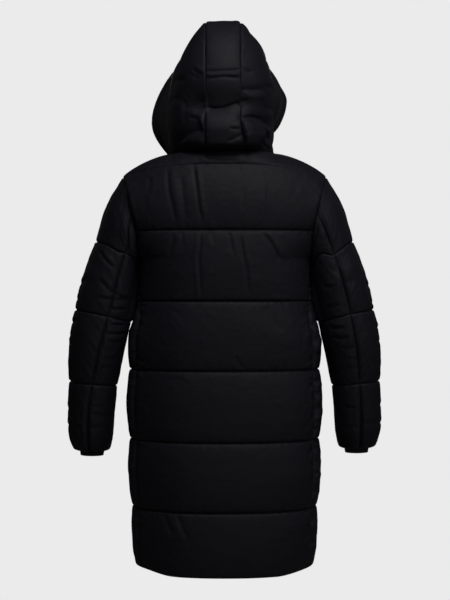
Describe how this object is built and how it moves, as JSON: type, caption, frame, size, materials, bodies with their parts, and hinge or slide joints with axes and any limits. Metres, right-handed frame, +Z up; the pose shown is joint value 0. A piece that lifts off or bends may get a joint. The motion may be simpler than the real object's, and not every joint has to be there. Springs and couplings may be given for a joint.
{
  "type": "long hooded puffer coat",
  "caption": "Long quilted padded coat with a hood, horizontal channels, full sleeves with rib cuffs and a front zip, filled out as if worn.",
  "frame": {"origin": "centre of the neck opening, level with the back neck seam, where the wearer's neck and shoulders hold the coat", "axes": "+Z up, the front of the coat faces -Y, the back faces +Y, and the wearer's left is +X"},
  "size_m": [0.7568, 0.3597, 1.3102],
  "materials": {
    "shell": "matt black nylon shell over padding, softly creased, with a faint sheen",
    "rib_knit": "black rib knit, dull",
    "zip_tape": "black woven zip tape with moulded black teeth",
    "zip_metal": "dark lacquered zip metal"
  },
  "bodies": {
    "coat": {"back_skirt": "shell", "back_upper": "shell", "back_yoke": "shell", "front_skirt_left": "shell", "front_skirt_right": "shell", "front_upper_left": "shell", "front_upper_right": "shell", "sleeve_outer_left": "shell", "sleeve_outer_right": "shell", "sleeve_under_left": "shell", "sleeve_under_right": "shell", "rib_cuff_left": "rib_knit", "rib_cuff_right": "rib_knit", "hood_centre": "shell", "hood_side_left": "shell", "hood_side_right": "shell", "hood_rim": "shell", "zip_tape_left": "zip_tape", "zip_tape_right": "zip_tape", "zip_slider": "zip_metal"},
    "zip_tab": {"zip_pull_tab": "zip_metal"}
  },
  "joints": [
    {"name": "zip_tab_swing", "type": "hinge", "parent": "coat", "child": "zip_tab", "pos_m": [0, -0.088, -0.0789], "axis": [-1, 0, 0], "range_deg": [0, 150]}
  ]
}
